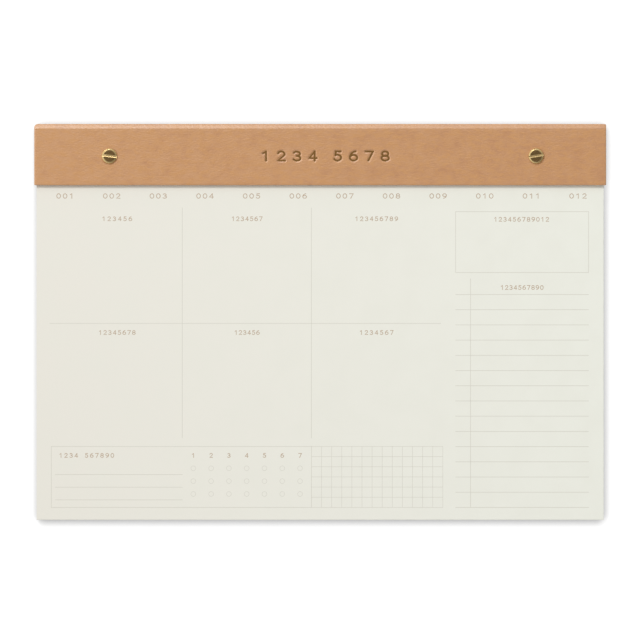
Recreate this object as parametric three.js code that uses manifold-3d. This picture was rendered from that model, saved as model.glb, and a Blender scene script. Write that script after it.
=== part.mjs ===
// Weekly planner pad: a year's tear-off sheets on a greyboard back, held at the head by two brass binding
// posts. One piece of leatherette is drawn over a stiffener board in front, folds over the spine and ends
// as a flap on the back.
// Millimetres. The pad lies face up: X runs along the head, +Y points up the page to the spine and +Z
// stands out of the top sheet. The origin is below the middle of the pad, on the surface it lies on.

import * as THREE from 'three';
import { mergeVertices } from 'three/addons/utils/BufferGeometryUtils.js';
import Module from 'manifold-3d';

// Sheets and boards
const padDepth = 215.4; // from the foot of the sheets to the outside of the spine
const sheetWidth = 308.5;
const sheetCount = 52; // one for each week of a year
const sheetCaliper = 0.125;
const backingCaliper = 1.8;
const stiffenerCaliper = 1.3;
const headGap = 0.3; // between the head of the sheets and the inside of the spine

// Leatherette cover
const coverOverhang = 1.3; // at each end, past the sheets
const coverCaliper = 0.5;
const panelDepth = 33.4; // front panel, from the outside of the spine to its lower edge
const flapDepth = 30; // the same on the back
const turnIn = 12; // hem glued down inside every edge
const spineFrontRadius = 2.4;
const spineRearRadius = 2;
const hemEdgeRadius = 0.45; // along the lower edges of the panel and the flap
const endRadius = 0.7; // over the two ends of the cover
const spineCornerRadius = 1.2; // in plan, where the ends meet the spine
const panelCornerRadius = 0.6; // in plan, at the lower corners of the panel

// Binding posts, a slotted screw in a blind barrel
const leftPostInset = 39.6; // from the left ends of the sheets to the post's axis
const rightPostInset = 36.8; // the same on the right, where the sheets were punched nearer to their ends
const headPostInset = 17.5; // from the outside of the spine to the posts' axes
const barrelDiameter = 5;
const holeClearance = 0.25; // around the barrel
const barrelRecess = 0.6; // from the front of the panel down to the barrel's mouth
const barrelMouthChamfer = 0.2;
const boreDiameter = 4.2;
const boreFloor = 1; // left under the bore, above the rear head
const rearHeadDiameter = 9;
const rearHeadHeight = 1;
const rearHeadRound = 0.4;
const shankDiameter = 3.7;
const shankLength = 7;
const shankChamfer = 0.4;
const screwHeadDiameter = 8.5;
const screwFaceDiameter = 6.9; // flat face inside the head's bevelled rim
const screwHeadHeight = 1.2;
const screwRimHeight = 0.45; // straight part of the rim, below the bevel
const slotWidth = 1.1;
const slotDepth = 0.65;
const slotAngleLeft = -6; // degrees from the X axis, where each screw came to a stop
const slotAngleRight = 8;

// Facets
const arcSegments = 5;
const holeSegments = 16;
const turnedSegments = 36;

// Levels above the surface that the pad lies on
const sheetBlockCaliper = sheetCount * sheetCaliper;
const flapRear = rearHeadHeight;
const backingRear = flapRear + 2 * coverCaliper;
const sheetsRear = backingRear + backingCaliper;
const sheetsFront = sheetsRear + sheetBlockCaliper;
const stiffenerRear = sheetsFront + coverCaliper;
const stiffenerFront = stiffenerRear + stiffenerCaliper;
const panelFront = stiffenerFront + coverCaliper;

// Places up and across the page
const spineOutside = padDepth / 2;
const foot = -padDepth / 2;
const spineInside = spineOutside - 2 * coverCaliper;
const headOfSheets = spineInside - headGap;
const panelFoot = spineOutside - panelDepth;
const flapFoot = spineOutside - flapDepth;
const stiffenerFoot = panelFoot + coverCaliper;
const stiffenerHead = spineOutside - spineFrontRadius;
const halfSheet = sheetWidth / 2;
const halfCover = halfSheet + coverOverhang;
const halfStiffener = halfCover - coverCaliper;
const halfUnhemmed = halfCover - turnIn;
const postLine = spineOutside - headPostInset;
const postPlaces = [
  { side: 'left', x: leftPostInset - halfSheet, slotAngle: slotAngleLeft },
  { side: 'right', x: halfSheet - rightPostInset, slotAngle: slotAngleRight },
];
const holeRadius = barrelDiameter / 2 + holeClearance;

const wasm = await Module();
wasm.setup();

// Outlines

// A closed outline through corners given as [u, v, radius], counter-clockwise. Radius 0 leaves one sharp.
function roundedOutline(corners) {
  const outline = new THREE.Shape();
  corners.forEach(([u, v, radius], i) => {
    const corner = new THREE.Vector2(u, v);
    if (radius === 0) {
      if (i === 0) outline.moveTo(u, v);
      else outline.lineTo(u, v);
      return;
    }
    const [uBefore, vBefore] = corners.at(i - 1);
    const [uAfter, vAfter] = corners[(i + 1) % corners.length];
    const back = new THREE.Vector2(uBefore, vBefore).sub(corner).normalize();
    const ahead = new THREE.Vector2(uAfter, vAfter).sub(corner).normalize();
    const halfAngle = Math.acos(THREE.MathUtils.clamp(back.dot(ahead), -1, 1)) / 2;
    const setback = radius / Math.tan(halfAngle);
    const middle = back.clone().add(ahead).normalize();
    const centre = corner.clone().addScaledVector(middle, radius / Math.sin(halfAngle));
    const start = corner.clone().addScaledVector(back, setback).sub(centre);
    const end = corner.clone().addScaledVector(ahead, setback).sub(centre);
    const clockwise = back.cross(ahead) > 0;
    outline.absarc(centre.x, centre.y, radius, start.angle(), end.angle(), clockwise);
  });
  outline.closePath();
  return outline;
}

// A rectangle from low to high on each axis, with one radius at all its corners.
function rectangle([uLow, uHigh], [vLow, vHigh], radius = 0) {
  return roundedOutline([
    [uLow, vLow, radius],
    [uHigh, vLow, radius],
    [uHigh, vHigh, radius],
    [uLow, vHigh, radius],
  ]);
}

function circle(x, y, radius) {
  return new THREE.Shape().absarc(x, y, radius, 0, 2 * Math.PI);
}

// Solids

// Where an extrusion's own axes u, v and w lie in the part, for each direction that w may run in.
const placeAlong = {
  x: (u, v, w) => [w, u, v],
  y: (u, v, w) => [v, w, u],
  z: (u, v, w) => [u, v, w],
};

// An outline extruded between two exact levels, so that neighbours which share a level meet face to face.
function extrude(outline, direction, low, high, segments = arcSegments) {
  const options = { depth: 1, bevelEnabled: false, curveSegments: segments };
  const geometry = new THREE.ExtrudeGeometry(outline, options);
  const position = geometry.getAttribute('position');
  for (let i = 0; i < position.count; i += 1) {
    const level = position.getZ(i) === 0 ? low : high;
    position.setXYZ(i, ...placeAlong[direction](position.getX(i), position.getY(i), level));
  }
  return geometry;
}

// A profile of [radius, height] points turned about the Z axis.
function turn(profile) {
  const points = profile.map(([radius, height]) => new THREE.Vector2(radius, height));
  return new THREE.LatheGeometry(points, turnedSegments).rotateX(Math.PI / 2);
}

// Profile points along the rounded outer edge of a turned head that starts at height 0.
function headEdge(headRadius, roundRadius) {
  const centre = headRadius - roundRadius;
  const arc = new THREE.EllipseCurve(centre, roundRadius, roundRadius, roundRadius, -Math.PI / 2, 0);
  return arc.getPoints(arcSegments).map((point) => [point.x, point.y]);
}

function toSolid(geometry) {
  const bare = geometry.clone().deleteAttribute('normal').deleteAttribute('uv');
  const merged = mergeVertices(bare);
  const position = merged.getAttribute('position');
  return new wasm.Manifold(
    new wasm.Mesh({
      numProp: position.itemSize,
      vertProperties: position.array,
      triVerts: new Uint32Array(merged.getIndex().array),
    }),
  );
}

function toGeometry(solid) {
  const mesh = solid.getMesh();
  const geometry = new THREE.BufferGeometry();
  geometry.setAttribute('position', new THREE.BufferAttribute(mesh.vertProperties, mesh.numProp));
  geometry.setIndex(new THREE.BufferAttribute(mesh.triVerts, 1));
  return geometry;
}

// Leatherette cover, one piece folded into a U round the head of the pad

function coverGeometry() {
  const section = roundedOutline([
    [flapFoot, flapRear, hemEdgeRadius],
    [spineOutside, flapRear, spineRearRadius],
    [spineOutside, panelFront, spineFrontRadius],
    [panelFoot, panelFront, hemEdgeRadius],
    [panelFoot, sheetsFront, hemEdgeRadius],
    [spineInside, sheetsFront, headGap],
    [spineInside, backingRear, headGap],
    [flapFoot, backingRear, hemEdgeRadius],
  ]);
  const endView = rectangle([flapRear, panelFront], [-halfCover, halfCover], endRadius);
  const plan = roundedOutline([
    [-halfCover, panelFoot, panelCornerRadius],
    [halfCover, panelFoot, panelCornerRadius],
    [halfCover, spineOutside, spineCornerRadius],
    [-halfCover, spineOutside, spineCornerRadius],
  ]);
  const lowestFoot = Math.min(panelFoot, flapFoot);
  const folded = toSolid(extrude(section, 'x', -halfCover, halfCover))
    .intersect(toSolid(extrude(endView, 'y', lowestFoot, spineOutside)))
    .intersect(toSolid(extrude(plan, 'z', flapRear, panelFront)));

  // The stiffener's pocket, closed all round by the drawn leatherette and its hems
  const pocketOutline = rectangle([-halfStiffener, halfStiffener], [stiffenerFoot, stiffenerHead]);
  const pocket = toSolid(extrude(pocketOutline, 'z', stiffenerRear, stiffenerFront));

  // Inside the hems the leatherette is a single layer, over the panel, the spine and the flap alike
  const panelHem = panelFoot + turnIn;
  const flapHem = flapFoot + turnIn;
  const middle = (sheetsFront + backingRear) / 2;
  const singleLayer = roundedOutline([
    [flapHem, flapRear + coverCaliper, 0],
    [spineOutside - coverCaliper, flapRear + coverCaliper, spineRearRadius - coverCaliper],
    [spineOutside - coverCaliper, stiffenerFront, spineFrontRadius - coverCaliper],
    [panelHem, stiffenerFront, 0],
    [panelHem, middle, 0],
    [flapHem, middle, 0],
  ]);
  const unhemmed = toSolid(extrude(singleLayer, 'x', -halfUnhemmed, halfUnhemmed));

  const holes = postPlaces.map(({ x }) => {
    const outline = circle(x, postLine, holeRadius);
    return toSolid(extrude(outline, 'z', 0, panelFront + rearHeadHeight, holeSegments));
  });
  const unpunched = folded.subtract(pocket).subtract(unhemmed);
  return toGeometry(holes.reduce((cover, hole) => cover.subtract(hole), unpunched));
}

// Boards and sheets, each punched for the two posts

function punchedPlate([xLow, xHigh], [yLow, yHigh], rear, front) {
  const outline = rectangle([xLow, xHigh], [yLow, yHigh]);
  outline.holes = postPlaces.map(({ x }) => circle(x, postLine, holeRadius));
  return extrude(outline, 'z', rear, front, holeSegments);
}

// Screw: a bevelled head with a driver slot, seated at z = 0 with its shank below

function screwGeometry() {
  const head = screwHeadDiameter / 2;
  const shank = shankDiameter / 2;
  const blank = turn([
    [0, -shankLength],
    [shank - shankChamfer, -shankLength],
    [shank, shankChamfer - shankLength],
    [shank, 0],
    [head, 0],
    [head, screwRimHeight],
    [screwFaceDiameter / 2, screwHeadHeight],
    [0, screwHeadHeight],
  ]);
  const slotOutline = rectangle([-screwHeadDiameter, screwHeadDiameter], [-slotWidth / 2, slotWidth / 2]);
  const slotFloor = screwHeadHeight - slotDepth;
  const slot = extrude(slotOutline, 'z', slotFloor, 2 * screwHeadHeight);
  return toGeometry(toSolid(blank).subtract(toSolid(slot)));
}

// Post: a rear head at z = 0 and a barrel with a blind bore, up to just under the front of the panel

function postGeometry() {
  const head = rearHeadDiameter / 2;
  const barrel = barrelDiameter / 2;
  const bore = boreDiameter / 2;
  const mouth = panelFront - barrelRecess;
  const floor = rearHeadHeight + boreFloor;
  return turn([
    [0, 0],
    ...headEdge(head, rearHeadRound),
    [head, rearHeadHeight],
    [barrel, rearHeadHeight],
    [barrel, mouth - barrelMouthChamfer],
    [barrel - barrelMouthChamfer, mouth],
    [bore, mouth],
    [bore, floor],
    [0, floor],
  ]);
}

// Assembly

const leatherette = new THREE.MeshStandardMaterial({ color: 0xc79a70, roughness: 0.55, metalness: 0 });
const textPaper = new THREE.MeshStandardMaterial({ color: 0xebebe1, roughness: 0.9, metalness: 0 });
const greyboard = new THREE.MeshStandardMaterial({ color: 0xb4aa98, roughness: 0.95, metalness: 0 });
const brass = new THREE.MeshStandardMaterial({ color: 0xc9a45c, roughness: 0.25, metalness: 1 });

function named(name, geometry, material) {
  const faceted = geometry.index ? geometry.toNonIndexed() : geometry;
  faceted.computeVertexNormals();
  const mesh = new THREE.Mesh(faceted, material);
  mesh.name = name;
  return mesh;
}

const pad = new THREE.Group();
const acrossSheets = [-halfSheet, halfSheet];
const upSheets = [foot, headOfSheets];
const acrossStiffener = [-halfStiffener, halfStiffener];
const upStiffener = [stiffenerFoot, stiffenerHead];
const backing = punchedPlate(acrossSheets, upSheets, backingRear, sheetsRear);
const sheets = punchedPlate(acrossSheets, upSheets, sheetsRear, sheetsFront);
const stiffener = punchedPlate(acrossStiffener, upStiffener, stiffenerRear, stiffenerFront);
pad.add(
  named('backing_board', backing, greyboard),
  named('sheet_block', sheets, textPaper),
  named('stiffener_board', stiffener, greyboard),
  named('leatherette_cover', coverGeometry(), leatherette),
);

for (const { side, x, slotAngle } of postPlaces) {
  const fastener = new THREE.Group();
  const post = named(`binding_post_${side}`, postGeometry(), brass);
  const screw = named(`binding_screw_${side}`, screwGeometry(), brass);
  screw.position.z = panelFront;
  screw.rotation.z = THREE.MathUtils.degToRad(slotAngle);
  fastener.add(post, screw);
  fastener.position.set(x, postLine, 0);
  pad.add(fastener);
}

export default pad;
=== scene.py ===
"""Dresses the weekly planner pad: leatherette head, brass binding posts, ruled sheets and greyboard back."""

import logging
import math
from collections.abc import Iterable, Sequence
from dataclasses import dataclass, field, replace
from enum import Enum

import bmesh
import bpy
import numpy as np
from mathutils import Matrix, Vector, noise
from mathutils.geometry import delaunay_2d_cdt


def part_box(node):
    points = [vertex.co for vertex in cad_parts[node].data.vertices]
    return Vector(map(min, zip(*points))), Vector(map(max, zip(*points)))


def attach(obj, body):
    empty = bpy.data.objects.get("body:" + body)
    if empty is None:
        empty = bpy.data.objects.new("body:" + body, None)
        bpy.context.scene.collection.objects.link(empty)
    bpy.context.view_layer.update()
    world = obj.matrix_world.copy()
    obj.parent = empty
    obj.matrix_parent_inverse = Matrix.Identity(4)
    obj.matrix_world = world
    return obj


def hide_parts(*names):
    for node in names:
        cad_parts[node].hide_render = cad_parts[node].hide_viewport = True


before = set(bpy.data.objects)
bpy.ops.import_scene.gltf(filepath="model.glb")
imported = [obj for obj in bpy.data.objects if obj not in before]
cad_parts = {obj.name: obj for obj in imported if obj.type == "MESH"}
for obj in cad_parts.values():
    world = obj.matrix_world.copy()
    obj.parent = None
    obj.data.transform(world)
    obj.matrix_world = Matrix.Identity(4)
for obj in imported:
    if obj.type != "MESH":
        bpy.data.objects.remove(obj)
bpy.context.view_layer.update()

LOG = logging.getLogger("planner_pad")
MM = 0.001
BODY = "root"
# Points closer than this in millimetres count as lying at one level
LEVEL_TOLERANCE = 1e-3

Point = tuple[float, float]
Colour = tuple[float, float, float, float]


def linear(hex_code: str) -> Colour:
    """Turns an sRGB hex value into linear light.

    Args:
        hex_code: Six hex digits after a hash sign.

    Returns:
        Red, green and blue from 0 to 1 in linear light, and an alpha of 1.
    """
    channels = [int(hex_code[i : i + 2], 16) / 255 for i in (1, 3, 5)]
    red, green, blue = [c / 12.92 if c <= 0.04045 else ((c + 0.055) / 1.055) ** 2.4 for c in channels]
    return red, green, blue, 1.0


def per_metre(size_mm: float) -> float:
    """Gives the texture scale at which one feature measures size_mm."""
    return 1 / (size_mm * MM)


def smooth_step(value: np.ndarray | float) -> np.ndarray | float:
    """Eases a value from 0 to 1, level at both ends.

    Args:
        value: One number or an array of them. What lies past 0 or 1 is held there.

    Returns:
        The eased value, of the same form.
    """
    held = np.clip(value, 0.0, 1.0)
    return held * held * (3 - 2 * held)


def add_node(
    tree: bpy.types.NodeTree,
    kind: str,
    settings: dict[str | int, object] | None = None,
    links: dict[str | int, bpy.types.NodeSocket] | None = None,
) -> bpy.types.Node:
    """Adds one node to a tree.

    Args:
        tree: The tree that takes the node.
        kind: The node's type name.
        settings: Values by the name or number of an input, or by the name of a property.
        links: Output sockets by the name or number of the input that they feed.

    Returns:
        The new node.
    """
    node = tree.nodes.new(kind)
    for key, value in (settings or {}).items():
        if isinstance(key, int) or key in node.inputs:
            node.inputs[key].default_value = value
        else:
            setattr(node, key, value)
    for key, socket in (links or {}).items():
        tree.links.new(socket, node.inputs[key])
    return node


class Finish:
    """A real material with the way its surface was made. A subclass draws it with nodes."""

    name = "finish"

    def draw(self, tree: bpy.types.NodeTree, shader: bpy.types.Node) -> None:
        """Draws the finish with nodes.

        Args:
            tree: The material's tree.
            shader: Its principled shader, whose sockets take the colour, the gloss and the relief.
        """
        raise NotImplementedError

    def material(self) -> bpy.types.Material:
        """Builds the finish once and gives it back after that.

        Returns:
            The Blender material.
        """
        known = bpy.data.materials.get(self.name)
        if known:
            return known
        made = bpy.data.materials.new(self.name)
        made.use_nodes = True
        self.draw(made.node_tree, made.node_tree.nodes["Principled BSDF"])
        return made

    @staticmethod
    def blend(
        tree: bpy.types.NodeTree, amount: bpy.types.NodeSocket, low: str | bpy.types.NodeSocket, high: str
    ) -> bpy.types.NodeSocket:
        """Mixes two colours by a pattern.

        Args:
            tree: The material's tree.
            amount: The pattern, from 0 to 1.
            low: The colour at 0, as a hex value or a socket.
            high: The colour at 1, as a hex value.

        Returns:
            The mixed colour.
        """
        # A mix node that is set to colours has them at its inputs 6 and 7 and at its output 2
        settings = {"data_type": "RGBA", 7: linear(high)}
        links = {0: amount}
        if isinstance(low, str):
            settings[6] = linear(low)
        else:
            links[6] = low
        return add_node(tree, "ShaderNodeMix", settings, links).outputs[2]


@dataclass(frozen=True)
class Leatherette(Finish):
    """Polyurethane leatherette on a woven back, embossed with a smooth calf grain and satin coated.

    The eye sees a soft mottle in two tans, deepened towards the right end by painted shade, short streaks of
    grain along the head and a faint satin light.
    """

    name: str = "tan polyurethane leatherette, calf grain embossed"
    light_tan: str = "#C8976C"
    deep_tan_and_painted_shade: str = "#BB8860"
    warm_streak: str = "#C89461"
    mottle_mm: float = 6.5
    half_length_mm: float = 155.5
    # Levels of the mottle at which the deep tan sets in, lower towards the right, so that painted shade
    # deepens the tan there
    painted_shade_left_onset: float = 0.44
    painted_shade_right_onset: float = 0.14
    streak_mm: float = 1.7
    streak_stretch: float = 2.1
    streak_degrees: float = -4.0
    pore_mm: float = 0.7
    grain_depth_mm: float = 0.16
    smoothest: float = 0.3
    roughest: float = 0.4

    def draw(self, tree: bpy.types.NodeTree, shader: bpy.types.Node) -> None:
        """Draws the mottle with its painted shade towards the right, the streaks and the embossed grain.

        Args:
            tree: The material's tree.
            shader: Its principled shader.
        """
        place = add_node(tree, "ShaderNodeTexCoord").outputs["Object"]
        slant = (0.0, 0.0, math.radians(self.streak_degrees))
        stretched = add_node(
            tree,
            "ShaderNodeMapping",
            {"vector_type": "TEXTURE", "Rotation": slant, "Scale": (self.streak_stretch, 1.0, 1.0)},
            {"Vector": place},
        ).outputs["Vector"]
        mottle = add_node(
            tree, "ShaderNodeTexNoise", {"Scale": per_metre(self.mottle_mm), "Detail": 5.0}, {"Vector": place}
        ).outputs["Fac"]
        streak = add_node(
            tree,
            "ShaderNodeTexNoise",
            {"Scale": per_metre(self.streak_mm), "Detail": 3.0, "Distortion": 0.6},
            {"Vector": stretched},
        ).outputs["Fac"]
        across = add_node(tree, "ShaderNodeSeparateXYZ", {}, {"Vector": place}).outputs["X"]
        reach = self.half_length_mm * MM
        # Painted shade: the deep tan sets in sooner towards the right, so that end of the head reads darker
        painted_shade_onset = add_node(
            tree,
            "ShaderNodeMapRange",
            {"From Min": -reach, "From Max": reach, "To Min": self.painted_shade_left_onset, "To Max": self.painted_shade_right_onset},
            {"Value": across},
        ).outputs["Result"]
        mottle_and_painted_shade = add_node(
            tree,
            "ShaderNodeMapRange",
            {"From Max": 0.86, "interpolation_type": "SMOOTHSTEP"},
            {"Value": mottle, "From Min": painted_shade_onset},
        ).outputs["Result"]
        streaked = add_node(
            tree,
            "ShaderNodeMapRange",
            {"From Min": 0.4, "From Max": 0.66, "To Max": 0.9},
            {"Value": streak},
        ).outputs["Result"]
        tan = self.blend(tree, mottle_and_painted_shade, self.light_tan, self.deep_tan_and_painted_shade)
        tree.links.new(self.blend(tree, streaked, tan, self.warm_streak), shader.inputs["Base Color"])
        gloss = add_node(
            tree, "ShaderNodeMapRange", {"To Min": self.smoothest, "To Max": self.roughest}, {"Value": streak}
        ).outputs["Result"]
        tree.links.new(gloss, shader.inputs["Roughness"])
        pores = add_node(
            tree, "ShaderNodeTexVoronoi", {"Scale": per_metre(self.pore_mm)}, {"Vector": stretched}
        ).outputs["Distance"]
        relief = add_node(tree, "ShaderNodeMath", {"operation": "ADD"}, {0: pores, 1: streak})
        bump = add_node(
            tree,
            "ShaderNodeBump",
            {"Strength": 0.6, "Distance": self.grain_depth_mm * MM},
            {"Height": relief.outputs["Value"]},
        )
        tree.links.new(bump.outputs["Normal"], shader.inputs["Normal"])
        shader.inputs["IOR"].default_value = 1.5
        shader.inputs["Coat Weight"].default_value = 0.6
        shader.inputs["Coat Roughness"].default_value = 0.28


@dataclass(frozen=True)
class TextPaper(Finish):
    """Uncoated wood-free text paper, off-white, machine finished and guillotine cut.

    The eye sees a matt warm white with a faint cloudy formation, a shade cooler towards the right, and a
    fine tooth.
    """

    name: str = "uncoated wood-free paper, machine finished"
    left_white: str = "#E8E5DB"
    right_white: str = "#ECEDE3"
    cloud: str = "#E6E6DB"
    cloud_mm: float = 14.0
    fibre_mm: float = 0.35
    tooth_mm: float = 0.02
    half_width_mm: float = 154.25

    def draw(self, tree: bpy.types.NodeTree, shader: bpy.types.Node) -> None:
        """Draws the change of white from side to side, the clouds and the tooth.

        Args:
            tree: The material's tree.
            shader: Its principled shader.
        """
        place = add_node(tree, "ShaderNodeTexCoord").outputs["Object"]
        across = add_node(tree, "ShaderNodeSeparateXYZ", {}, {"Vector": place}).outputs["X"]
        reach = self.half_width_mm * MM
        side = add_node(
            tree, "ShaderNodeMapRange", {"From Min": -reach, "From Max": reach}, {"Value": across}
        ).outputs["Result"]
        formation = add_node(
            tree, "ShaderNodeTexNoise", {"Scale": per_metre(self.cloud_mm), "Detail": 6.0}, {"Vector": place}
        ).outputs["Fac"]
        clouds = add_node(
            tree,
            "ShaderNodeMapRange",
            {"From Min": 0.4, "From Max": 0.8, "To Max": 0.45},
            {"Value": formation},
        ).outputs["Result"]
        white = self.blend(tree, side, self.left_white, self.right_white)
        tree.links.new(self.blend(tree, clouds, white, self.cloud), shader.inputs["Base Color"])
        fibres = add_node(
            tree, "ShaderNodeTexNoise", {"Scale": per_metre(self.fibre_mm), "Detail": 3.0}, {"Vector": place}
        ).outputs["Fac"]
        tooth = add_node(
            tree, "ShaderNodeMapRange", {"To Min": 0.82, "To Max": 0.95}, {"Value": fibres}
        ).outputs["Result"]
        tree.links.new(tooth, shader.inputs["Roughness"])
        bump = add_node(
            tree, "ShaderNodeBump", {"Strength": 0.2, "Distance": self.tooth_mm * MM}, {"Height": fibres}
        )
        tree.links.new(bump.outputs["Normal"], shader.inputs["Normal"])
        shader.inputs["Specular IOR Level"].default_value = 0.25


@dataclass(frozen=True)
class OffsetInk(Finish):
    """Offset printing ink soaked into uncoated paper.

    The eye sees flat matt colour that breaks up a little with the paper's tooth.
    """

    name: str = "offset ink, grey-beige rule"
    full: str = "#CFCCC0"
    starved: str = "#D7D5CA"
    tooth_mm: float = 0.4

    def draw(self, tree: bpy.types.NodeTree, shader: bpy.types.Node) -> None:
        """Draws full ink, starved where the paper's tooth is low.

        Args:
            tree: The material's tree.
            shader: Its principled shader.
        """
        place = add_node(tree, "ShaderNodeTexCoord").outputs["Object"]
        tooth = add_node(
            tree, "ShaderNodeTexNoise", {"Scale": per_metre(self.tooth_mm), "Detail": 2.0}, {"Vector": place}
        ).outputs["Fac"]
        tree.links.new(self.blend(tree, tooth, self.full, self.starved), shader.inputs["Base Color"])
        shader.inputs["Roughness"].default_value = 0.85
        shader.inputs["Specular IOR Level"].default_value = 0.25


@dataclass(frozen=True)
class Greyboard(Finish):
    """Greyboard of recycled pulp, pressed and die cut.

    The eye sees a dull warm grey with lighter fibres and scattered dark and pale specks.
    """

    name: str = "greyboard, pressed recycled pulp"
    grey: str = "#AFA594"
    pale_fibre: str = "#C4BBAA"
    dark_speck: str = "#6E6557"
    fibre_mm: float = 1.2
    fibre_relief_mm: float = 0.04
    speck_mm: float = 2.6

    def draw(self, tree: bpy.types.NodeTree, shader: bpy.types.Node) -> None:
        """Draws the pressed fibres and the specks.

        Args:
            tree: The material's tree.
            shader: Its principled shader.
        """
        place = add_node(tree, "ShaderNodeTexCoord").outputs["Object"]
        fibres = add_node(
            tree,
            "ShaderNodeTexNoise",
            {"Scale": per_metre(self.fibre_mm), "Detail": 6.0, "Roughness": 0.7, "Distortion": 1.5},
            {"Vector": place},
        ).outputs["Fac"]
        pale = add_node(
            tree, "ShaderNodeMapRange", {"From Min": 0.48, "From Max": 0.7}, {"Value": fibres}
        ).outputs["Result"]
        cells = add_node(
            tree, "ShaderNodeTexVoronoi", {"Scale": per_metre(self.speck_mm)}, {"Vector": place}
        ).outputs["Distance"]
        speck = add_node(
            tree,
            "ShaderNodeMapRange",
            {"From Min": 0.05, "From Max": 0.12, "To Min": 0.8, "To Max": 0.0},
            {"Value": cells},
        ).outputs["Result"]
        pulp = self.blend(tree, pale, self.grey, self.pale_fibre)
        tree.links.new(self.blend(tree, speck, pulp, self.dark_speck), shader.inputs["Base Color"])
        bump = add_node(
            tree,
            "ShaderNodeBump",
            {"Strength": 0.4, "Distance": self.fibre_relief_mm * MM},
            {"Height": fibres},
        )
        tree.links.new(bump.outputs["Normal"], shader.inputs["Normal"])
        shader.inputs["Roughness"].default_value = 0.92
        shader.inputs["Specular IOR Level"].default_value = 0.2


@dataclass(frozen=True)
class TurnedBrass(Finish):
    """Free-cutting brass, turned on a lathe and tumbled bright.

    The eye sees warm yellow metal with fine rings from the tool round the middle of each head.
    """

    name: str = "free-cutting brass, lathe turned"
    bright: str = "#E8CD98"
    shade: str = "#D9B87A"
    ring_mm: float = 0.16
    ring_depth_mm: float = 0.01
    head_mm: float = 8.5
    # Rings that a wave texture of scale 1 draws in one unit
    waves_per_unit: float = 3.2
    smoothest: float = 0.15
    roughest: float = 0.24

    def draw(self, tree: bpy.types.NodeTree, shader: bpy.types.Node) -> None:
        """Draws the tool's rings and the faint tarnish.

        Args:
            tree: The material's tree.
            shader: Its principled shader.
        """
        whole = add_node(tree, "ShaderNodeTexCoord").outputs["Generated"]
        centred = add_node(
            tree, "ShaderNodeMapping", {"Location": (-0.5, -0.5, 0.0)}, {"Vector": whole}
        ).outputs["Vector"]
        rings = add_node(
            tree,
            "ShaderNodeTexWave",
            {
                "wave_type": "RINGS",
                "rings_direction": "Z",
                "Scale": self.head_mm / self.ring_mm / self.waves_per_unit,
                "Distortion": 0.4,
            },
            {"Vector": centred},
        ).outputs["Fac"]
        tarnish = add_node(
            tree, "ShaderNodeTexNoise", {"Scale": 6.0, "Detail": 4.0}, {"Vector": whole}
        ).outputs["Fac"]
        tree.links.new(self.blend(tree, tarnish, self.bright, self.shade), shader.inputs["Base Color"])
        polish = add_node(
            tree,
            "ShaderNodeMapRange",
            {"To Min": self.smoothest, "To Max": self.roughest},
            {"Value": tarnish},
        ).outputs["Result"]
        tree.links.new(polish, shader.inputs["Roughness"])
        bump = add_node(
            tree, "ShaderNodeBump", {"Strength": 0.12, "Distance": self.ring_depth_mm * MM}, {"Height": rings}
        )
        tree.links.new(bump.outputs["Normal"], shader.inputs["Normal"])
        shader.inputs["Metallic"].default_value = 1.0


@dataclass(frozen=True)
class StampedFoil(Finish):
    """Gold stamping foil, hot pressed into the leatherette.

    The eye sees a thin old-gold film that takes the grain below it, dark where it mirrors the dim zenith.
    """

    name: str = "gold stamping foil, hot pressed"
    gold: str = "#AD844E"
    rubbed: str = "#926C3E"
    grain_mm: float = 0.5
    grain_depth_mm: float = 0.02

    def draw(self, tree: bpy.types.NodeTree, shader: bpy.types.Node) -> None:
        """Draws the rubbed film and the grain that it takes.

        Args:
            tree: The material's tree.
            shader: Its principled shader.
        """
        place = add_node(tree, "ShaderNodeTexCoord").outputs["Object"]
        grain = add_node(
            tree, "ShaderNodeTexNoise", {"Scale": per_metre(self.grain_mm), "Detail": 3.0}, {"Vector": place}
        ).outputs["Fac"]
        tree.links.new(self.blend(tree, grain, self.gold, self.rubbed), shader.inputs["Base Color"])
        bump = add_node(
            tree,
            "ShaderNodeBump",
            {"Strength": 0.15, "Distance": self.grain_depth_mm * MM},
            {"Height": grain},
        )
        tree.links.new(bump.outputs["Normal"], shader.inputs["Normal"])
        shader.inputs["Metallic"].default_value = 1.0
        shader.inputs["Roughness"].default_value = 0.38


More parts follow.
